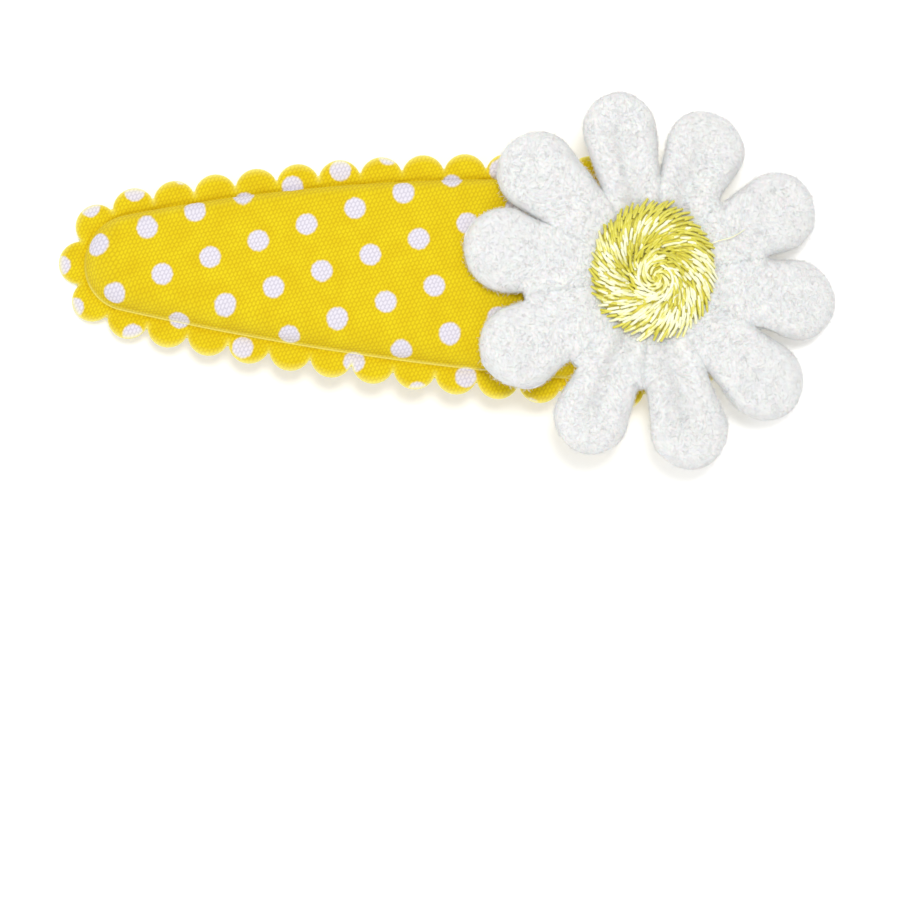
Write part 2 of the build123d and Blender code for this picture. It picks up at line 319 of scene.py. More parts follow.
def plated_steel(tree):
    """Nickel-plated spring steel, rolled: its gloss is drawn out in fine lines along the strip."""
    place = add(tree, "TexCoord").outputs["Object"]
    stretch = (1 / (6 * MM), 1 / (0.12 * MM), 1 / (0.12 * MM))
    drawn = add(tree, "Mapping", {"Vector": place, "Scale": stretch})
    lines = add(tree, "TexNoise", {"Vector": drawn, "Scale": 1.0, "Detail": 4.0})
    blotch = add(tree, "TexNoise", {"Vector": place, "Scale": 1 / (3 * MM), "Detail": 3.0})
    gloss = add(tree, "MapRange", {"Value": blotch, "To Min": 0.2, "To Max": 0.38})
    look = {"Base Color": linear("#C9C8C3"), "Metallic": 1.0, "Roughness": gloss}
    shade(tree, look, lines, 0.15, 0.02)


def open_foam(tree):
    """Polyurethane foam sheet: cream, open-celled and dull."""
    place = add(tree, "TexCoord").outputs["Object"]
    cells = add(tree, "TexVoronoi", {"Vector": place, "Scale": 1 / (0.25 * MM)})
    ends = {6: linear("#E8E0C8"), 7: linear("#F6F1E2")}
    tone = add(tree, "Mix", {"Factor": cells, **ends}, data_type="RGBA").outputs[2]
    shade(tree, {"Base Color": tone, "Roughness": 0.95}, cells, 0.8, 0.08)


def set_glue(tree):
    """Hot-melt glue, set: milky, smooth and faintly see-through."""
    tone, swirl, _ = mottle(tree, 1.2, 2.0, "#E6DFC4", "#F3EFE0")
    depths = {"Subsurface Weight": 0.4, "Subsurface Scale": 1 * MM}
    shade(tree, {"Base Color": tone, "Roughness": 0.3, **depths}, swirl, 0.3, 0.1)


def white_acrylic(tree):
    """Matt white acrylic sheet, lit a little from below so that shadows on it stay light."""
    shade(tree, {
        "Base Color": linear(settings("stage").floor), "Roughness": 0.9, "Specular IOR Level": 0.1,
        "Emission Color": linear("#FFFFFF"), "Emission Strength": 0.17,
    })


MAKERS = {
    "printed_plain_weave_cotton": printed_cotton,
    "brushed_white_polyester_thread": brushed_thread,
    "bright_yellow_rayon_thread": rayon_thread,
    # Two copies of the rayon: a deep yellow that is painted shade, and a pale yellow that is painted
    # highlight
    "deep_yellow_rayon_thread": partial(rayon_thread, low="#D2C934", high="#E2DA58"),
    "pale_yellow_rayon_thread": partial(rayon_thread, low="#F3F2BE", high="#FAFADC"),
    "golden_rayon_underlay": golden_underlay,
    "nickel_plated_spring_steel": plated_steel,
    "open_cell_foam": open_foam,
    "set_hot_melt_glue": set_glue,
    "needled_white_felt": brushed_thread,
    "matt_white_acrylic": white_acrylic,
}


def material(name):
    """The material of that name, made the first time that it is asked for."""
    made = bpy.data.materials.get(name)
    if made is None:
        made = bpy.data.materials.new(name)
        made.use_nodes = True
        made.node_tree.nodes.clear()
        MAKERS[name](made.node_tree)
    return made


# ---------------------------------------------------------------- shared shape


CLIP = {}


def measure_clip():
    """Reads the clip's main places from the frame: ends, arch, sides and the daisy's hub."""
    cover = settings("cover")
    low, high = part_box("back_fabric")
    reach = cover.scallop_setout + cover.scallop_radius
    knot_low, knot_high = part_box("centre_knot")
    narrow, wide = cover.narrow_radius, cover.wide_radius
    narrow_x = low.x + reach + narrow
    wide_x = high.x - reach - wide
    spacing = wide_x - narrow_x
    side = (spacing**2 + wide**2 - narrow**2) / (2 * (wide - narrow))
    CLIP.update(
        tip_x=low.x, end_x=high.x, crown_x=(low.x + high.x) / 2,
        arch_z=high.z - cover.arch_radius - cover.back_thick,
        narrow_x=narrow_x, wide_x=wide_x, side=side, drop=side - wide,
        lean=math.atan2(spacing, side - wide), hub=(knot_low + knot_high).xy / 2,
    )


def clamp(value):
    """The value, kept between 0 and 1."""
    return min(max(value, 0), 1)


def arch_height(x, height):
    """The Z of a place above x, at a height over the back fabric's underside."""
    radius = settings("cover").arch_radius + height
    return CLIP["arch_z"] + math.sqrt(radius**2 - (x - CLIP["crown_x"]) ** 2)


def bend(bm):
    """Lifts a mesh whose Z is its height over the back fabric onto the arch."""
    for vert in bm.verts:
        vert.co.z = arch_height(vert.co.x, vert.co.z)


def seam_place(share):
    """A place on the seam, the way out from it, and how far in the middle line is.

    share runs from 0 at the narrow tip, by the +Y side, to 1 at the tip again.
    """
    cover = settings("cover")
    out = cover.scallop_setout
    narrow, wide, side = cover.narrow_radius, cover.wide_radius, CLIP["side"]
    lean = CLIP["lean"]
    runs = [
        (narrow + out) * (math.pi / 2 - lean), (side + out) * lean, (wide + out) * math.pi / 2,
    ]
    along = min(share, 1 - share) * 2 * sum(runs)
    if along < runs[0]:
        centre, radius, depth = (CLIP["narrow_x"], 0), narrow, narrow
        angle = math.pi - along / (narrow + out)
    elif along < runs[0] + runs[1]:
        centre, radius = (CLIP["wide_x"], -CLIP["drop"]), side
        angle = math.pi / 2 + lean - (along - runs[0]) / (side + out)
        depth = side - CLIP["drop"] / math.sin(angle)
    else:
        centre, radius, depth = (CLIP["wide_x"], 0), wide, wide
        angle = math.pi / 2 - (along - runs[0] - runs[1]) / (wide + out)
    flip = 1 if share <= 0.5 else -1
    way = Vector((math.cos(angle), flip * math.sin(angle)))
    return Vector((centre[0], flip * centre[1])) + radius * way, way, depth


def scallop_edge(share):
    """The cut edge's place at a share of the way round, on the scallop that is there."""
    cover = settings("cover")
    count = cover.scallop_count
    number = round(share * count)
    offset = share * count - number
    place, way, _ = seam_place((number / count) % 1)
    centre = place + way * cover.scallop_setout
    step = 1 if offset >= 0 else -1
    place, beside_way, _ = seam_place(((number + step) / count) % 1)
    beside = place + beside_way * cover.scallop_setout
    half = (beside - centre).length / 2
    outwards = (way + beside_way).normalized()
    rise = math.sqrt(max(cover.scallop_radius**2 - half**2, 0))
    valley = (centre + beside) / 2 + outwards * rise
    angle = -way.angle_signed(valley - centre) * abs(offset) * 2
    return centre + Matrix.Rotation(angle, 2) @ way * cover.scallop_radius


def new_object(name, data):
    """A new object of the scene, with that data."""
    made = bpy.data.objects.new(name, data)
    bpy.context.scene.collection.objects.link(made)
    return made


def set_order(elements, place):
    """Puts a bmesh's elements in the order of their places, which is the same on every run."""
    for number, each in enumerate(sorted(elements, key=place)):
        each.index = number
    elements.sort()


def bmesh_object(name, bm):
    """A new object with the bmesh as its mesh, its normals pointing outwards."""
    bmesh.ops.recalc_face_normals(bm, faces=bm.faces)
    set_order(bm.verts, lambda vert: tuple(vert.co))
    # Fibres are scattered by the order of the faces
    set_order(bm.faces, lambda face: tuple(face.calc_center_median()))
    mesh = bpy.data.meshes.new(name)
    bm.to_mesh(mesh)
    bm.free()
    return new_object(name, mesh)


def new_verts(geometry):
    """The vertices in what a bmesh operator made."""
    return [each for each in geometry if isinstance(each, bmesh.types.BMVert)]


def finish_piece(name, bm, *looks, slot, body="clip", replaces=()):
    """Turns a bmesh into a smooth-shaded piece with its materials, riding on a body."""
    piece = bmesh_object(name, bm)
    piece.data.shade_smooth()
    for look in looks:
        piece.data.materials.append(material(look))
    if body:
        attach(piece, body)
    if replaces:
        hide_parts(*replaces)
    return piece


def modify(piece, kind, **values):
    """Adds a modifier to a piece."""
    modifier = piece.modifiers.new(kind, kind)
    for name, value in values.items():
        setattr(modifier, name, value)


def apply_modifiers(piece):
    """Makes a piece's modifiers part of its mesh."""
    seen = piece.evaluated_get(bpy.context.evaluated_depsgraph_get())
    mesh = bpy.data.meshes.new_from_object(seen)
    piece.modifiers.clear()
    old = piece.data
    piece.data = mesh
    bpy.data.meshes.remove(old)
    mesh.name = piece.name


def set_looks(piece, looks):
    """Gives a piece these materials in place of its own."""
    piece.data.materials.clear()
    for look in looks:
        piece.data.materials.append(look)


def press_on_table(piece, reach=0.35 * MM):
    """Squeezes what is under the table's top up onto it, with the cloth just above it."""
    lowest = min(vert.co.z for vert in piece.data.vertices)
    if lowest < 0:
        for vert in piece.data.vertices:
            if vert.co.z < reach:
                vert.co.z = reach - (reach - vert.co.z) * reach / (reach - lowest)


# ---------------------------------------------------------------- cover


def cover_rows(bm, rows, samples, flat_of=None, rim_of=None, merged=0.002 * MM):
    """Extrudes a closed row of edges round a piece, once for each row.

    A row is a function of the share of the way round that gives a place and its height.
    flat_of gives the same place in the flat cloth, for the print, and rim_of how pale the
    cloth's rim is, from crushing at the edge and, on the front, a painted highlight on the seam
    ridge.
    """
    uv = bm.verts.layers.float_vector.new("flat")
    crushed_and_highlight = bm.verts.layers.float.new("rim")
    shares = [(i + 0.5) / samples for i in range(samples)]
    ring = [bm.verts.new((0, 0, 0)) for _ in shares]
    edges = [bm.edges.new((ring[i], ring[i - 1])) for i in range(samples)]
    for number, row in enumerate(rows):
        if number:
            made = bmesh.ops.extrude_edge_only(bm, edges=edges)["geom"]
            ring_set = set(ring)
            pairs = {}
            for vert in new_verts(made):
                for edge in vert.link_edges:
                    other = edge.other_vert(vert)
                    if other in ring_set:
                        pairs[other] = vert
            ring = [pairs[v] for v in ring]
            edges = [bm.edges.get((ring[i], ring[i - 1])) for i in range(samples)]
        for share, vert in zip(shares, ring):
            place, height = row(share)
            vert.co = (place.x, place.y, height)
            if flat_of:
                vert[uv] = (*flat_of(number, share, place), 0)
                vert[crushed_and_highlight] = rim_of(number, share)
    bmesh.ops.remove_doubles(bm, verts=bm.verts, dist=merged)


def write_cloth_uv(bm):
    """Copies the flat cloth's places into the UV map that the print reads."""
    uv = bm.loops.layers.uv.new("cloth")
    flat = bm.verts.layers.float_vector["flat"]
    for face in bm.faces:
        for loop in face.loops:
            loop[uv].uv = loop.vert[flat].xy


def shoulder_width(way):
    """How wide the padding's shoulder is: steep along +Y, long along -Y and at the narrow end."""
    wider = 1.0 - 0.42 * max(way.y, 0) + 0.25 * max(-way.y, 0) + 0.85 * max(-way.x, 0) ** 2
    return settings("cover").shoulder * wider


def panel_height(place, inside, way):
    """Height of the padded panel at a place that is so far inside the seam."""
    cover = settings("cover")
    crown = cover.panel_top - place.y**2 / (2 * cover.panel_crown)
    seam = cover.back_thick + 0.18 * MM
    # Away from +Y a narrow pressed ridge stands between the border and the padding
    ridge = 0.18 * MM * clamp(0.5 - way.y)
    rise = min(max(inside - ridge, 0) / shoulder_width(way), 1)
    return seam + (crown - seam) * math.sqrt(1 - (1 - rise) ** 2)


def unevenness(place, scale_mm, height_mm, seed=0.0):
    """A small smooth lump or hollow, as in hand-fed foam and cloth."""
    at = Vector((place.x / (scale_mm * MM), place.y / (scale_mm * MM), seed))
    return noise.noise(at) * height_mm * MM


def cloth(node, rows, flat_of, rim_of, columns, thickness):
    """The printed cloth that stands for a node, with so many columns to each scallop."""
    bm = bmesh.new()
    cover_rows(bm, rows, settings("cover").scallop_count * columns, flat_of, rim_of)
    write_cloth_uv(bm)
    bend(bm)
    piece = finish_piece(
        f"{node}_cloth", bm, "printed_plain_weave_cotton", slot="printed_cotton", replaces=[node],
    )
    modify(piece, "SOLIDIFY", thickness=thickness, offset=-1)
    apply_modifiers(piece)
    press_on_table(piece)
    return piece


def declare_cloth():
    """Reads the cover's settings and does nothing more."""
    cover = settings("cover")


# The front fabric's rows, from the cut edge: (share of the way from the seam to the edge,
# height in mm), then distances inside the seam in mm, then shares of the way to the middle
FRONT_BORDER = (
    (1.0, 0.02), (1.0, 0.12), (0.985, 0.2), (0.94, 0.27), (0.86, 0.31), (0.7, 0.34),
    (0.5, 0.35), (0.3, 0.33), (0.16, 0.27), (0.07, 0.17), (0.02, 0.1),
)
FRONT_SHOULDER = (0.0, 0.03, 0.08, 0.16, 0.28, 0.42, 0.6, 0.8, 1.05, 1.35, 1.7)
FRONT_PANEL = (0.12, 0.24, 0.36, 0.48, 0.6, 0.72, 0.84, 0.94, 1.0)
# How pale its rows are from crushing, from the cut edge, and how strong a painted highlight those
# beside the seam get
CRUSHED = (1.0, 0.95, 0.75, 0.45, 0.15)
RIDGE_HIGHLIGHT = {12: 0.35, 13: 0.6, 14: 0.25}
# More cloth goes down the shoulder than the outline has room for
SPARE_CLOTH = 0.45 * MM
SHOULDER_STEPS = 10


def front_border(out, height, share):
    """A place on the front fabric's border, and its height."""
    place = seam_place(share)[0].lerp(scallop_edge(share), out)
    puff = unevenness(place, 1.4, 0.05)
    return place, settings("cover").back_thick + height * MM + puff * min(height / 0.3, 1)


def front_panel(step, onwards, share):
    """A place on the padded panel, and its height."""
    cover = settings("cover")
    seam, way, depth = seam_place(share)
    inner = min(step * MM, depth) + (depth - min(cover.shoulder, depth)) * onwards
    place = seam - way * inner
    puff = unevenness(place, 3.5, 0.14) + unevenness(place, 1.2, 0.03)
    pinch = 0.12 * MM * math.exp(-(((inner / MM - 0.08) / 0.07) ** 2))
    return place, panel_height(place, inner, way) + puff * min(inner / cover.shoulder, 1) + pinch


def down_the_shoulder(share, inner):
    """Share of the cloth's way down the shoulder that is left at a distance inside the seam."""
    seam, way, depth = seam_place(share)
    shoulder = min(shoulder_width(way), depth)
    whole = here = 0.0
    before = panel_height(seam, 0, way)
    for i in range(1, SHOULDER_STEPS + 1):
        at = shoulder * i / SHOULDER_STEPS
        height = panel_height(seam - way * at, at, way)
        run = math.hypot(shoulder / SHOULDER_STEPS, height - before)
        whole += run
        here += run * clamp(inner / shoulder * SHOULDER_STEPS - i + 1)
        before = height
    return 1 - here / whole


def front_flat(number, share, place):
    """A place in the flat front fabric, which the shoulder stretches evenly all the way down."""
    seam, way, depth = seam_place(share)
    shoulder = min(shoulder_width(way), depth)
    inner = (seam - place).dot(way)
    if number < len(FRONT_BORDER):
        return place + way * SPARE_CLOTH
    if inner >= shoulder:
        return place
    stretched = (shoulder + SPARE_CLOTH) * down_the_shoulder(share, inner)
    return seam - way * shoulder + way * stretched


def front_rim_and_ridge_highlight(number, share):
    """How pale the front fabric's rim is: from crushing at its cut edge and in torn notches, and a
    painted highlight on the ridge beside the seam.
    """
    along = share * settings("cover").scallop_count
    speck = noise.noise(Vector((round(along - 0.5) * 7.3, 0, 0)))
    torn = max(0.0, 1 - abs(along % 1 - 0.5) / 0.16) * max(0.3, min(1, 0.3 + speck * 4))
    torn *= max(0, 1 - number / 7)
    edge = CRUSHED[number] if number < len(CRUSHED) else 0.0
    # A painted highlight along the pressed ridge beside the seam, away from +Y
    ridge = RIDGE_HIGHLIGHT.get(number, 0) * clamp(0.35 - seam_place(share)[1].y)
    return min(1, edge + torn + ridge)


class CLIP_OT_front_fabric(bpy.types.Operator):
    """Front fabric: a scalloped border, the bonded seam and the crowned panel in one sheet"""

    bl_idname = "clip.front_fabric"
    bl_label = "Front fabric"

    def execute(self, context):
        rows = [partial(front_border, *row) for row in FRONT_BORDER]
        rows += [partial(front_panel, step, 0.0) for step in FRONT_SHOULDER]
        rows += [partial(front_panel, FRONT_SHOULDER[-1], share) for share in FRONT_PANEL]
        # The cotton is stretched thinner than the piece cut for it
        thickness = settings("cover").front_thick * 0.68
        piece = cloth("front_fabric", rows, front_flat, front_rim_and_ridge_highlight, 14, thickness)
        declare_cloth()
        return {"FINISHED"}


# The back fabric's rows: shares of the way from the seam to the cut edge, then to the middle
BACK_BORDER = (1.0, 0.99, 0.95, 0.85, 0.65, 0.4, 0.2, 0.08, 0.0)
BACK_POCKET = (0.01, 0.04, 0.09, 0.16, 0.25, 0.36, 0.48, 0.6, 0.72, 0.84, 0.94, 1.0)
SLIT_WIDTH = 1.82 * MM
SLIT_LENGTH = 14 * MM


def back_top():
    """Height of the back fabric's upper face."""
    return settings("cover").back_thick - 0.01 * MM


def back_border(out, share):
    """A place on the back fabric's border, and its height."""
    place = seam_place(share)[0].lerp(scallop_edge(share), out)
    pressed = 0.06 * MM * math.exp(-((out / 0.12) ** 2))
    rounded = MM * max(out - 0.93, 0)
    return place, back_top() - pressed - rounded + unevenness(place, 1.4, 0.03, 4)


def back_pocket(inward, share):
    """A place on the back fabric inside the seam, and its height."""
    seam, way, depth = seam_place(share)
    place = seam - way * depth * inward
    pressed = 0.06 * MM * math.exp(-((depth * inward / (0.25 * MM)) ** 2))
    lumps = unevenness(place, 3.0, 0.05, 4) - unevenness(place, 1.4, 0.02, 4)
    return place, back_top() - pressed + lumps


def cut_slit(piece):
    """Cuts the tongue's slit across the back fabric, with a slightly wavy edge."""
    bm = bmesh.new()
    bmesh.ops.create_circle(bm, cap_ends=True, radius=SLIT_WIDTH / 2, segments=24)
    half = (SLIT_LENGTH - SLIT_WIDTH) / 2
    for vert in bm.verts:
        vert.co.y += half if vert.co.y > 0 else -half
        waver = noise.noise(Vector((vert.co.y / MM, 0, 0))) * 0.05 * MM
        vert.co.x += CLIP["tip_x"] + NECK + waver
    walls = bmesh.ops.extrude_face_region(bm, geom=bm.faces[:])["geom"]
    bmesh.ops.translate(bm, verts=new_verts(walls), vec=(0, 0, 20 * MM))
    cutter = bmesh_object("cutter", bm)
    modify(piece, "BOOLEAN", object=cutter, operation="DIFFERENCE", solver="EXACT")
    apply_modifiers(piece)
    bpy.data.meshes.remove(cutter.data)


class CLIP_OT_back_fabric(bpy.types.Operator):
    """Back fabric: the flat scalloped sheet with a slit that the tongue comes out of"""

    bl_idname = "clip.back_fabric"
    bl_label = "Back fabric"

    def execute(self, context):
        rows = [partial(back_border, out) for out in BACK_BORDER]
        rows += [partial(back_pocket, inward) for inward in BACK_POCKET]
        piece = cloth(
            "back_fabric", rows, lambda number, share, place: place,
            lambda number, share: (0.9, 0.5, 0.1)[number] if number < 3 else 0.0, 10,
            settings("cover").back_thick - 0.03 * MM,
        )
        cut_slit(piece)
        declare_cloth()
        return {"FINISHED"}


# The foam's rows: shares of the way from its edge to the middle, below and above
FOAM_UNDER = (1.0, 0.8, 0.6, 0.4, 0.2, 0.05, 0.0)
FOAM_OVER = (0.0, 0.02, 0.06, 0.12, 0.2, 0.3, 0.45, 0.6, 0.75, 0.9, 1.0)
FOAM_INSET = 1.2 * MM
FOAM_LOW = 1.76 * MM


def foam_under(inward, share):
    """A place under the foam, and its height: hollowed over the rivet."""
    seam, way, depth = seam_place(share)
    place = seam - way * (FOAM_INSET + (depth - FOAM_INSET) * inward)
    near = (place - Vector((CLIP["tip_x"] + RIVET, 0))).length / (2.6 * MM)
    return place, FOAM_LOW + 0.45 * MM * math.exp(-(near**4))


def foam_over(inward, share):
    """A place on top of the foam, and its height."""
    seam, way, depth = seam_place(share)
    inside = FOAM_INSET + (depth - FOAM_INSET) * inward
    place = seam - way * inside
    height = max(panel_height(place, inside, way) - 0.4 * MM, FOAM_LOW + 0.02 * MM)
    return place, height + unevenness(place, 1.0, 0.05)


class CLIP_OT_foam(bpy.types.Operator):
    """Foam pad: cut a little smaller than the pocket, hollowed where it lies on the rivet"""

    bl_idname = "clip.foam"
    bl_label = "Foam pad"

    def execute(self, context):
        rows = [partial(foam_under, inward) for inward in FOAM_UNDER]
        rows += [partial(foam_over, inward) for inward in FOAM_OVER]
        bm = bmesh.new()
        cover_rows(bm, rows, 180)
        bend(bm)
        piece = finish_piece(
            "foam_pad_cushion", bm, "open_cell_foam", slot="foam", replaces=["foam_pad"],
        )
        return {"FINISHED"}


# ---------------------------------------------------------------- steel


# Half widths of the tongue, and the radius of its root's corners
TIP_HALF = 2.5 * MM
NECK_HALF = 3.2 * MM
ROOT_HALF = 4 * MM
ROOT_CORNER = 2 * MM
# Height of the middle of the tongue's steel outside the pocket, over the back fabric
OUTSIDE = -0.35 * MM
STEEL = 0.5 * MM


def strip_height(x):
    """Height of the middle of the tongue: below the cloth, then up the neck into the pocket."""
    step = clamp((x - CLIP["tip_x"] - NECK) / (1.9 * MM) + 0.5)
    return OUTSIDE + 1.25 * MM * step * step * (3 - 2 * step)


def tongue_stations(hinge_x):
    """Places along the tongue from its round tip to the end of its root, with half widths."""
    round_x, root_x = CLIP["tip_x"] + TONGUE_TIP + TIP_HALF, CLIP["tip_x"] + ROOT
    end_x = CLIP["wide_x"] + 5.45 * MM
    tip_turns = [math.pi * i / 18 for i in range(1, 10)]
    corner_turns = [math.pi / 2 * i / 8 for i in range(1, 9)]
    places = [(round_x - TIP_HALF * math.cos(t), TIP_HALF * math.sin(t)) for t in tip_turns]
    for start, end, steps, half, end_half in (
        (round_x, hinge_x, 30, TIP_HALF, NECK_HALF), (hinge_x, root_x, 12, NECK_HALF, NECK_HALF),
    ):
        for share in (i / steps for i in range(1, steps + 1)):
            places.append((start + (end - start) * share, half + (end_half - half) * share))
    for t in corner_turns:
        half = max(ROOT_CORNER * (1 + math.sin(t)), NECK_HALF)
        places.append((root_x + ROOT_CORNER * (1 - math.cos(t)), half))
    run = end_x - root_x - 2 * ROOT_CORNER
    places += [(root_x + ROOT_CORNER + run * i / 5, ROOT_HALF) for i in range(1, 6)]
    for t in corner_turns:
        half = ROOT_CORNER * (1 + math.cos(t))
        places.append((end_x - ROOT_CORNER * (1 - math.sin(t)), half))
    return places


class CLIP_OT_steel(bpy.types.Operator):
    """Steel clip: the tongue as one sprung strip, and the plated frame and rivet"""

    bl_idname = "clip.steel"
    bl_label = "Steel clip"

    def execute(self, context):
        for name in ("clip_frame", "clip_rivet"):
            set_looks(bpy.data.objects[name], [material("nickel_plated_spring_steel")])
        hinge_x = CLIP["tip_x"] + HINGE
        stations = tongue_stations(hinge_x)
        last = len(stations) - 1
        bm = bmesh.new()
        bmesh.ops.create_grid(bm, x_segments=last, y_segments=8, size=1)
        for vert in bm.verts:
            x, half = stations[round((vert.co.x + 1) / 2 * last)]
            vert.co = (x, vert.co.y * half, strip_height(x))
        bend(bm)
        piece = finish_piece(
            "clip_tongue", bm, "nickel_plated_spring_steel", body=None, slot="spring_steel",
            replaces=["tongue_root", "tongue_blade"],
        )
        modify(piece, "SOLIDIFY", thickness=STEEL, offset=0, use_even_offset=True)
        modify(piece, "BEVEL", width=0.08 * MM, segments=2)
        apply_modifiers(piece)
        start, end = hinge_x + 0.6 * MM, hinge_x - 3 * MM
        arch_height(hinge_x, OUTSIDE)
        arch_height(end, OUTSIDE)
        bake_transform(piece)
        return {"FINISHED"}


# ---------------------------------------------------------------- daisy


def fibre(size, thick):
    """One curled fibre: a closed three-sided spindle, rooted at one end, drooping at the other."""
    bm = bmesh.new()
    bmesh.ops.create_cone(
        bm, cap_ends=False, segments=3, radius1=thick / 2, radius2=thick / 2, depth=size * 0.55,
    )
    rims = [
        [e for e in bm.edges if e.is_boundary and e.verts[0].co.z * side > 0] for side in (-1, 1)
    ]
    for side, rim in zip((-1, 1), rims):
        tip = new_verts(bmesh.ops.extrude_edge_only(bm, edges=rim)["geom"])
        bmesh.ops.pointmerge(bm, verts=tip, merge_co=(0, 0, side * size / 2))
    for vert in bm.verts:
        along = vert.co.z / size + 0.5
        sideways = 0.1 * math.sin(4 * along) * size
        drooped = -0.3 * along**2 * size
        vert.co = (along * size, vert.co.x + sideways, vert.co.y + drooped)
    made = bmesh_object("fibre", bm)
    made.data.shade_smooth()
    return made


def brush_up(piece, single, density, seed):
    """Scatters fibres over a piece and makes them part of its mesh."""
    group = bpy.data.node_groups.new("Pile", "GeometryNodeTree")
    for way in ("INPUT", "OUTPUT"):
        group.interface.new_socket("Geometry", in_out=way, socket_type="NodeSocketGeometry")
    body = add(group, "NodeGroupInput").outputs[0]
    upward = add(group, "SeparateXYZ", {0: add(group, "GeometryNodeInputNormal")}).outputs[2]
    # No fibres underneath, where the petal lies on the felt
    seen = add(group, "FunctionNodeCompare", {0: upward, 1: -0.3}, operation="GREATER_THAN")
    points = add(
        group, "GeometryNodeDistributePointsOnFaces",
        {"Mesh": body, "Selection": seen, "Density": density, "Seed": seed},
        distribute_method="RANDOM",
    )
    turned = points.outputs["Rotation"]
    # A turn about the surface's normal, then a tilt up from it
    for low, high, offset in (((0, 0, 0), (0, 0, math.tau), 1), ((0, -1.2, 0), (0, -0.2, 0), 3)):
        limits = {0: low, 1: high, "Seed": seed + offset}
        twist = add(group, "FunctionNodeRandomValue", limits, data_type="FLOAT_VECTOR")
        twisted = {"Rotation": turned, "Rotate By": twist}
        turned = add(group, "FunctionNodeRotateRotation", twisted, rotation_space="LOCAL")
    limits = {2: 0.6, 3: 1.3, "Seed": seed + 2}
    size = add(group, "FunctionNodeRandomValue", limits, data_type="FLOAT").outputs[1]
    shape = add(group, "GeometryNodeObjectInfo", {"Object": single}).outputs["Geometry"]
    placed = add(
        group, "GeometryNodeInstanceOnPoints",
        {"Points": points, "Instance": shape, "Rotation": turned, "Scale": size},
    )
    pile = add(group, "GeometryNodeRealizeInstances", {"Geometry": placed})
    joined = add(group, "GeometryNodeJoinGeometry", {0: pile})
    group.links.new(body, joined.inputs[0])
    add(group, "NodeGroupOutput", {0: joined})
    modify(piece, "NODES", node_group=group)
    looks = list(piece.data.materials)
    apply_modifiers(piece)
    set_looks(piece, looks)
    piece.data.polygons.foreach_set("material_index", [0] * len(piece.data.polygons))
    bpy.data.node_groups.remove(group)


def petal_plan():
    """Each petal's angle, and its end circle's distance from the hub and radius, from its node."""
    plan = []
    for number in range(1, 11):
        node = bpy.data.objects[f"petal_{number:02d}"]
        places = [v.co.xy - CLIP["hub"] for v in node.data.vertices]
        far = max(p.length for p in places)
        rim = np.array([p for p in places if p.length > far - 1.2 * MM])
        # A circle through the rim: x*x + y*y = 2ax + 2by + c
        known = np.column_stack([2 * rim, np.ones(len(rim))])
        (a, b, c), *_ = np.linalg.lstsq(known, (rim**2).sum(axis=1), rcond=None)
        plan.append((math.atan2(b, a), math.hypot(a, b), math.sqrt(c + a * a + b * b)))
    return plan


def taper_depth(u, v, start, start_radius, end, end_radius):
    """How deep a place lies in a taper from one round end to another, along u."""
    run = end - start
    slope = (start_radius - end_radius) / run
    level = math.sqrt(1 - slope * slope)
    u, v = u - start, abs(v)
    along = level * u - slope * v
    if along < 0:
        return start_radius - math.hypot(u, v)
    if along > level * run:
        return end_radius - math.hypot(u - run, v)
    return start_radius - level * v - slope * u


# Beside each petal, clockwise: how far from the hub the pile joins it to the next one, in mm,
# and how much the groove between them is filled there
JOINS = (
    (8.3, 0.5), (8.4, 1.2), (9.6, 1.2), (9.1, 1.2), (8.6, 0.7),
    (8.9, 0.5), (9.3, 1.0), (10.3, 1.2), (9.3, 1.2), (7.8, 0.5),
)
# How far the middle of some petals is pressed down between its two side bands, in mm
CHANNELS = {0: 0.62, 1: 0.55, 5: 0.6, 6: 0.6}
SHALLOW_CHANNEL = 0.05
PETAL_SAMPLES = 200
# Where a petal starts to widen: its distance from the hub and its radius
PETAL_ROOT = (7 * MM, 2.3 * MM)


def petal_depth(plan, number, place, merging=False):
    """How deep a place about the hub lies inside a petal, and its place along and across it.

    With merging, the grooves beside the petal count less near the hub.
    """
    daisy = settings("daisy")
    angle, distance, radius = plan[number]
    before = (plan[number - 1][0] - angle) % math.tau / 2
    after = (angle - plan[(number + 1) % len(plan)][0]) % math.tau / 2
    u = place.x * math.cos(angle) + place.y * math.sin(angle)
    v = place.y * math.cos(angle) - place.x * math.sin(angle)
    heel = (daisy.petal_inner + 1 * MM, 1 * MM)
    depth = max(
        taper_depth(u, v, *heel, *PETAL_ROOT), taper_depth(u, v, *PETAL_ROOT, distance, radius),
        taper_depth(u, v, *heel, distance, radius),
    )
    left = u * math.sin(before) - v * math.cos(before) - daisy.petal_gap / 2
    right = u * math.sin(after) + v * math.cos(after) - daisy.petal_gap / 2
    inner = place.length - daisy.petal_inner
    # Towards the hub the stitches of neighbouring petals run into each other
    joined, filling = JOINS[number - 1] if v > 0 else JOINS[number]
    depth = max(depth, joined * MM - place.length)
    if merging:
        merged = clamp((joined + 0.6 - place.length / MM) / 1.6) * filling * MM
        side = left if v > 0 else right
        return min(depth + merged * 0.5, side + merged, inner + 1 * MM), u, v
    return min(depth, left, right, inner), u, v


def petal_outline(plan, number, pole):
    """Ways out from the pole all round a petal, each with the distance of its edge."""
    outline = []
    for i in range(PETAL_SAMPLES):
        angle = (i + 0.5) / PETAL_SAMPLES * math.tau
        way = Vector((math.cos(angle), math.sin(angle)))
        near, far = 0.0, 12 * MM
        for _ in range(18):
            half = (near + far) / 2
            if petal_depth(plan, number, pole + way * half)[0] > 0:
                near = half
            else:
                far = half
        outline.append((way, near))
    return outline


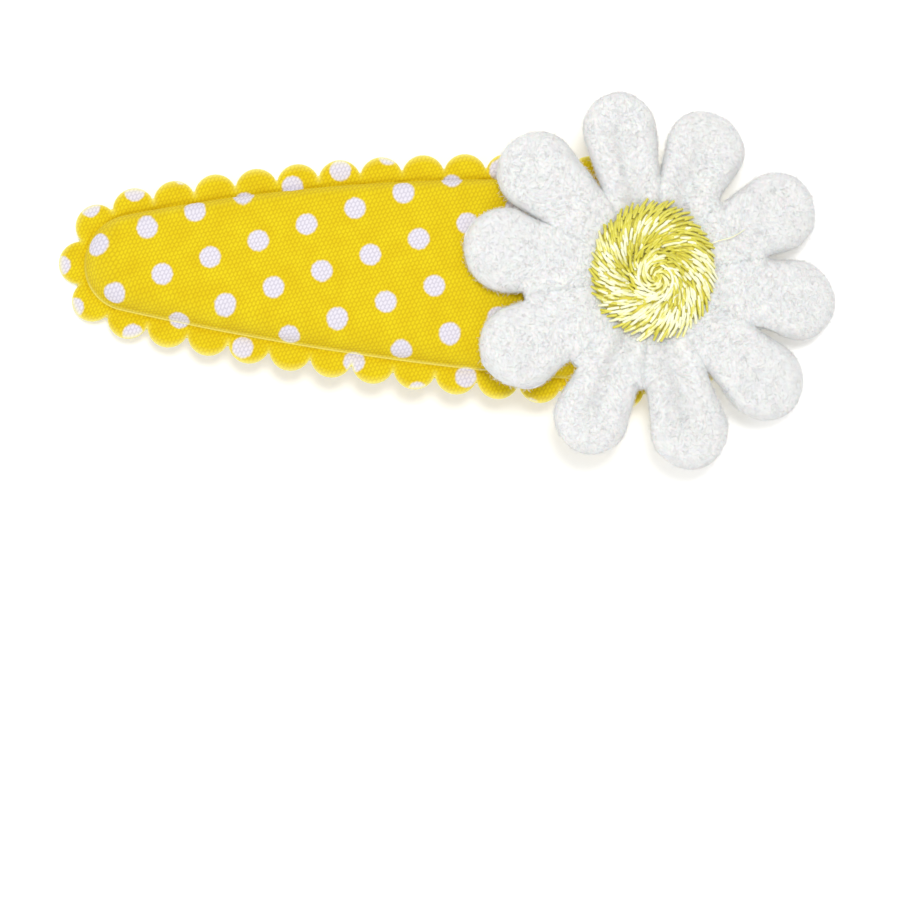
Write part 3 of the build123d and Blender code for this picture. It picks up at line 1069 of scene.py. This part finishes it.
def petal_height(plan, number, place):
    """Height of a petal's top: a dome with a channel, slanting ribs and clumps of pile."""
    daisy = settings("daisy")
    depth, u, v = petal_depth(plan, number, place, True)
    part = min(max(depth, 0) / (1.25 * MM), 1)
    edge = daisy.petal_low + 0.2 * MM
    height = edge + (daisy.petal_top - edge) * math.sqrt(max(1 - (1 - part) ** 2, 0))
    channel = CHANNELS.get(number, SHALLOW_CHANNEL) * MM * math.exp(-((v / (0.75 * MM)) ** 2))
    channel *= clamp((plan[number][1] + 0.6 * MM - u) / (1.5 * MM)) * part
    slant = math.radians(58)
    at = Vector((place.x / MM, place.y / MM, 3.7))
    rib = (u * math.sin(slant) - abs(v) * math.cos(slant)) / daisy.rib_pitch
    rib += 0.5 * noise.noise(at * 0.8)
    stitched = 0.028 * math.sin(rib * math.tau) * (0.5 + noise.noise(at * 0.9))
    clumps = 0.16 * noise.noise(at * 0.7) + 0.04 * noise.noise(at * 2.1)
    clumps += 0.025 * noise.noise(at * 4.6)
    # Petals sink a little towards the middle, under the yellow stitches
    sunk = 0.08 * MM * clamp((6.2 * MM - u) / (2.5 * MM))
    return height - channel - sunk + (stitched + clumps) * MM * min(1, 0.4 + part)


def petal_rows(plan, number):
    """A petal's rows: its flat underside from the pole outwards, then its top back to the pole."""
    hub, petal_low = CLIP["hub"], settings("daisy").petal_low
    angle, distance, _ = plan[number]
    pole = Matrix.Rotation(angle, 2) @ Vector((distance - 3.4 * MM, 0))
    outline = petal_outline(plan, number, pole)

    def row(share, lift, turn):
        way, edge = outline[int(turn * PETAL_SAMPLES) % PETAL_SAMPLES]
        place = pole + way * edge * share
        x, y = (place + hub) / MM
        soft = 0.07 * noise.noise(Vector((x * 1.3, y * 1.3, number)))
        soft += 0.3 * noise.noise(Vector((x * 0.33, y * 0.33, number * 5.1)))
        soft *= clamp(place.length / (2 * MM) - 4)
        place = place + way * soft * MM * share
        height = petal_low + lift * MM if lift is not None else petal_height(plan, number, place)
        return place + hub, height

    lifts = [(share, 0.0) for share in (0.0, 0.3, 0.6, 0.8, 0.93)] + [(0.985, 0.05), (1.0, 0.14)]
    lifts += [(1 - inwards, None) for inwards in (0.0, 0.004, 0.01, 0.018, 0.028, 0.04)]
    lifts += [(0.96 - 0.96 * (i + 1) / 42, None) for i in range(42)]
    return [partial(row, *each) for each in lifts]


class CLIP_OT_petals(bpy.types.Operator):
    """Ten petals: domed satin stitching over a soft core, brushed up into a short pile"""

    bl_idname = "clip.petals"
    bl_label = "Petals"

    def execute(self, context):
        size = settings("daisy").fibre_length
        single, stray = fibre(size, 0.016 * MM), fibre(2.2 * size, 0.018 * MM)
        plan = petal_plan()
        for number in range(len(plan)):
            bm = bmesh.new()
            cover_rows(bm, petal_rows(plan, number), PETAL_SAMPLES, merged=0.001 * MM)
            bend(bm)
            name = f"petal_{number + 1:02d}"
            piece = finish_piece(
                f"daisy_{name}", bm, "brushed_white_polyester_thread",
                slot="white_brushed_thread", replaces=[name],
            )
            brush_up(piece, stray, 9e6, 10 * number + 7)
            brush_up(piece, single, 90e6, 10 * number + 3)
        bpy.data.objects.remove(single)
        bpy.data.objects.remove(stray)
        return {"FINISHED"}


class CLIP_OT_felt(bpy.types.Operator):
    """Felt backing: a soft needled sheet, cut inside the petals' outline"""

    bl_idname = "clip.felt"
    bl_label = "Felt backing"

    def execute(self, context):
        bm = bmesh.new()
        bm.from_mesh(bpy.data.objects["daisy_backing"].data)
        bmesh.ops.remove_doubles(bm, verts=bm.verts, dist=0.001 * MM)
        piece = finish_piece(
            "daisy_felt", bm, "needled_white_felt", slot="white_felt", replaces=["daisy_backing"],
        )
        modify(piece, "REMESH", mode="VOXEL", voxel_size=0.13 * MM)
        apply_modifiers(piece)
        for vert in piece.data.vertices:
            vert.co += Vector(noise.noise_vector(vert.co / MM * 2.2)) * 0.05 * MM
        piece.data.shade_smooth()
        return {"FINISHED"}


def thread_mesh(bm, threads, width):
    """Adds a mesh of round threads, each a material slot and a path of points."""
    data = bpy.data.curves.new("threads", "CURVE")
    for _ in range(4):
        data.materials.append(None)
    data.dimensions = "3D"
    data.bevel_depth = width / 2
    data.bevel_resolution = 1
    data.use_fill_caps = True
    data.resolution_u = 3
    for tone, path in threads:
        line = data.splines.new("NURBS")
        line.points.add(len(path) - 1)
        for number, (point, place) in enumerate(zip(line.points, path)):
            point.co = (*place, 1)
            point.radius = 0.85 if number in (0, len(path) - 1) else 1.0
        line.material_index = tone
        line.order_u = 3
        line.use_endpoint_u = True
    made = new_object("threads", data)
    bpy.context.view_layer.update()
    seen = made.evaluated_get(bpy.context.evaluated_depsgraph_get())
    mesh = bpy.data.meshes.new_from_object(seen)
    bm.from_mesh(mesh)
    bpy.data.objects.remove(made)
    bpy.data.curves.remove(data)
    bpy.data.meshes.remove(mesh)


def lay_underlay(bm):
    """Gives what is in a bmesh so far the underlay's material, in slot 1."""
    for face in bm.faces:
        face.material_index = 1


def bead(bm, profile, hub):
    """A ring-shaped bed under the stitches: a closed profile in mm, spun about the hub."""
    verts = [bm.verts.new((hub.x + r * MM, hub.y, h * MM)) for r, h in profile]
    edges = [bm.edges.new((verts[i - 1], verts[i])) for i in range(len(verts))]
    bmesh.ops.spin(
        bm, geom=verts + edges, cent=(hub.x, hub.y, 0), axis=(0, 0, 1), angle=math.tau, steps=96,
        use_merge=True,
    )
    bmesh.ops.remove_doubles(bm, verts=bm.verts, dist=0.001 * MM)


def thread_path(hub, places):
    """A path from places in mm about the hub."""
    return [(hub.x + x * MM, hub.y + y * MM, height * MM) for x, y, height in places]


def stitched_rows(rng, hub, rows, profile, lean, wander, width):
    """Rows of short arched stitches about the hub, all leaning the same way but for some wander.

    Each row is its radius in mm and the shares of deep yellow threads, which are painted shade, and
    pale yellow threads, which are painted highlight (slots 2 and 3), first all round and then
    towards +Y. profile is the ring's height in mm at each radius.
    """
    radii, heights = zip(*profile)
    shortened = math.cos(math.radians(lean))
    threads = []
    for radius, deep, pale, deep_up, pale_up in rows:
        count = round(math.tau * radius * shortened * MM / width)
        for i in range(count):
            angle = math.tau * (i + rng.uniform(-0.35, 0.35)) / count
            astray = max(min(rng.gauss(0, wander), 2 * wander), -2 * wander)
            slant = math.tan(math.radians(lean + astray))
            start = radius + rng.gauss(0, 0.1)
            run = rng.uniform(0.7, 1.08) * shortened
            lift = rng.gauss(0, 0.04)
            places = []
            for share in (0, 0.25, 0.5, 0.75, 1):
                r = start + run * share
                spun = angle - slant * math.log(r / start)
                height = float(np.interp(r, radii, heights)) + lift
                height += 0.14 * math.sin(share * math.pi)
                # The ring is a little longer across the clip than along it
                tall = 1 + 0.02 * r
                places.append((r * math.cos(spun), r * tall * math.sin(spun), height))
            # Painted shade and highlight: towards +Y more threads take the shade-painted deep
            # yellow, elsewhere more take the highlight-painted pale yellow
            up = clamp((math.sin(angle) - 0.25) / 0.4)
            pick = rng.random()
            tone = 2 if pick < deep + (deep_up - deep) * up else 0
            if not tone and pick > 1 - pale - (pale_up - pale) * up:
                tone = 3
            threads.append((tone, thread_path(hub, places)))
    return threads


# Each ring of stitches: its node, its hub's offset from the daisy's in mm, the lean and the wander
# of its stitches in degrees, its rows, the height of its top and the profile of its bed
RINGS = {
    "centre_outer_stitches": (
        "centre_outer_ring", (0.1, 0.55), 44, 7,
        (
            (1.95, 0.5, 0.3, 0.85, 0.05), (2.4, 0.3, 0.45, 0.75, 0.15),
            (2.8, 0.12, 0.55, 0.25, 0.45), (3.2, 0.1, 0.6, 0.5, 0.3),
            (3.6, 0.1, 0.6, 0.85, 0.05), (4.0, 0.15, 0.55, 1.0, 0.0), (4.36, 0.5, 0.2, 1.0, 0.0),
        ),
        (
            (1.9, 5.25), (2.5, 5.65), (3.0, 6.1), (3.5, 6.3), (4.1, 6.15), (4.6, 5.75),
            (5.1, 5.28),
        ),
        (
            (1.9, 5.1), (2.2, 5.35), (2.8, 5.85), (3.4, 6.15), (4.1, 6.05), (4.6, 5.7),
            (4.95, 5.2), (4.6, 4.9), (3.2, 4.9),
        ),
    ),
    "centre_inner_stitches": (
        "centre_inner_ring", (0.35, -0.12), 56, 13,
        (
            (0.35, 0.0, 0.1, 0.0, 0.1), (0.6, 0.0, 0.1, 0.1, 0.1), (0.85, 0.1, 0.1, 0.3, 0.0),
            (1.2, 0.0, 0.8, 0.1, 0.6), (1.4, 0.0, 0.85, 0.2, 0.6), (1.7, 0.5, 0.3, 0.8, 0.1),
            (1.95, 0.5, 0.3, 0.85, 0.05), (2.2, 0.5, 0.4, 0.9, 0.05),
        ),
        ((0.4, 5.75), (1.0, 5.85), (1.5, 6.05), (1.8, 6.0), (2.2, 5.55), (2.6, 5.35)),
        (
            (0.3, 5.1), (0.4, 5.6), (1.05, 5.75), (1.5, 5.9), (1.8, 5.8), (2.3, 5.2),
            (1.5, 5.0),
        ),
    ),
}
# The loose end's places in mm about the hub, with their heights
LOOSE_END = ((4.7, 3.0, 5.7), (5.4, 3.3, 5.95), (6.3, 3.5, 5.75), (7.3, 4.3, 5.6))


def knot_threads(rng, hub):
    """Nine short stitches that cross in the middle."""
    threads = []
    for _ in range(9):
        middle = rng.uniform(0, math.tau)
        places = []
        for share in (0, 0.33, 0.66, 1):
            angle = middle + (share - 0.5) * 3.4
            arched = math.sin(share * math.pi)
            r = 0.55 + rng.gauss(0, 0.12) - 0.35 * arched
            height = 5.5 + 0.25 * arched + rng.gauss(0, 0.05)
            places.append((r * math.cos(angle), r * math.sin(angle), height))
        threads.append((0, thread_path(hub, places)))
    return threads


class CLIP_OT_centre(bpy.types.Operator):
    """Yellow centre: two rings of slanting rayon stitches round a small knot, and one loose end"""

    bl_idname = "clip.centre"
    bl_label = "Yellow centre"

    def execute(self, context):
        rng = random.Random(12)
        thread = settings("daisy").thread
        for name, (node, offset, lean, wander, rows, top, profile) in RINGS.items():
            hub = CLIP["hub"] + Vector(offset) * MM
            threads = stitched_rows(rng, hub, rows, top, lean, wander, thread)
            bm = bmesh.new()
            bead(bm, profile, hub)
            lay_underlay(bm)
            thread_mesh(bm, threads, thread)
            bend(bm)
            finish_piece(
                name, bm, "bright_yellow_rayon_thread", "golden_rayon_underlay",
                "deep_yellow_rayon_thread", "pale_yellow_rayon_thread", slot="yellow_rayon",
                replaces=[node],
            )
        # The knot sits in the middle of the inner ring
        threads = knot_threads(rng, hub)
        bm = bmesh.new()
        bmesh.ops.create_icosphere(bm, subdivisions=3, radius=0.95 * MM)
        for vert in bm.verts:
            vert.co = (hub.x + vert.co.x, hub.y + vert.co.y, 5.25 * MM + vert.co.z * 0.4)
        lay_underlay(bm)
        thread_mesh(bm, threads, thread)
        bend(bm)
        # The knot's threads are in the deep yellow that stands for painted shade
        finish_piece(
            "centre_knot_stitches", bm, "deep_yellow_rayon_thread", "golden_rayon_underlay",
            slot="yellow_rayon", replaces=["centre_knot"],
        )
        # One of the strands that the thread is twisted from
        bm = bmesh.new()
        thread_mesh(bm, [(0, thread_path(CLIP["hub"], LOOSE_END))], thread * 0.35)
        bend(bm)
        finish_piece("loose_thread", bm, "pale_yellow_rayon_thread", slot="yellow_rayon")
        return {"FINISHED"}


class CLIP_OT_hidden_parts(bpy.types.Operator):
    """Glue and underlay: finishes for the CAD parts that hold the daisy on"""

    bl_idname = "clip.hidden_parts"
    bl_label = "Glue and underlay"

    def execute(self, context):
        looks = {"glue_pad": "set_hot_melt_glue", "centre_underlay": "golden_rayon_underlay"}
        for name, look in looks.items():
            set_looks(bpy.data.objects[name], [material(look)])
        return {"FINISHED"}


# ---------------------------------------------------------------- stage


# (place, size, power) of the soft boxes, in metres and watts
SOFT_BOXES = (((0.04, 0.13, 0.97), 0.22, 4.0), ((-0.4, -0.45, 0.78), 0.3, 1.2))
SKY = 0.76
AIM = Vector((0.9, -14.04, 4.4)) * MM


class CLIP_OT_stage(bpy.types.Operator):
    """Stage: pale floor, soft studio light and the camera"""

    bl_idname = "clip.stage"
    bl_label = "Stage"

    def execute(self, context):
        stage = settings("stage")
        scene = context.scene
        scene.view_settings.view_transform = "Standard"
        scene.view_settings.look = "None"
        scene.world = bpy.data.worlds.new("studio")
        scene.world.use_nodes = True
        tree = scene.world.node_tree
        tree.nodes.clear()
        sky = add(tree, "Background", {"Color": linear("#FFFFFF"), "Strength": SKY})
        add(tree, "OutputWorld", {"Surface": sky})

        bm = bmesh.new()
        bmesh.ops.create_grid(bm, x_segments=1, y_segments=1, size=3)
        mesh = bpy.data.meshes.new("floor")
        bm.to_mesh(mesh)
        bm.free()
        mesh.materials.append(material("matt_white_acrylic"))
        new_object("floor", mesh)

        for number, (place, size, power) in enumerate(SOFT_BOXES):
            lamp = bpy.data.lights.new(f"soft_box_{number}", "AREA")
            lamp.shape = "DISK"
            lamp.size = size
            lamp.energy = power
            box = new_object(lamp.name, lamp)
            box.location = place
            box.rotation_euler = (-Vector(place)).to_track_quat("-Z", "Y").to_euler()

        away = Vector((0, -math.cos(stage.elevation), math.sin(stage.elevation)))
        lens = bpy.data.cameras.new("camera")
        lens.lens = stage.lens
        lens.sensor_width = 36
        lens.clip_start = 0.01
        camera = new_object("camera", lens)
        looking = (-away).to_track_quat("-Z", "Y").to_matrix()
        rolled = looking @ Matrix.Rotation(stage.roll, 3, "Z")
        camera.matrix_world = Matrix.Translation(AIM + away * stage.distance) @ rolled.to_4x4()
        scene.camera = camera
        return {"FINISHED"}


# ---------------------------------------------------------------- panel


OPERATORS = [
    CLIP_OT_stage, CLIP_OT_foam, CLIP_OT_back_fabric, CLIP_OT_front_fabric, CLIP_OT_steel,
    CLIP_OT_felt, CLIP_OT_petals, CLIP_OT_centre, CLIP_OT_hidden_parts,
]
SETTINGS = {
    "clip_cover": ClipCoverSettings,
    "clip_daisy": ClipDaisySettings,
    "clip_stage": ClipStageSettings,
}


class CLIP_PT_panel(bpy.types.Panel):
    """Lists the clip's settings and its pieces"""

    bl_idname = "CLIP_PT_panel"
    bl_label = "Daisy Snap Clip"
    bl_space_type = "VIEW_3D"
    bl_region_type = "UI"
    bl_category = "Daisy Clip"

    def draw(self, context):
        for name, kind in SETTINGS.items():
            box = self.layout.box()
            for prop in kind.__annotations__:
                box.prop(getattr(context.scene, name), prop)
        for operator in OPERATORS:
            self.layout.operator(operator.bl_idname)


def register():
    for each in [*SETTINGS.values(), *OPERATORS, CLIP_PT_panel]:
        bpy.utils.register_class(each)
    for name, kind in SETTINGS.items():
        setattr(bpy.types.Scene, name, bpy.props.PointerProperty(type=kind))


def unregister():
    for name in SETTINGS:
        delattr(bpy.types.Scene, name)
    for each in [CLIP_PT_panel, *OPERATORS, *SETTINGS.values()]:
        bpy.utils.unregister_class(each)


def main():
    """Makes every piece and the stage."""
    register()
    measure_clip()
    for operator in OPERATORS:
        category, name = operator.bl_idname.split(".")
        getattr(getattr(bpy.ops, category), name)()


if __name__ == "__main__":
    main()
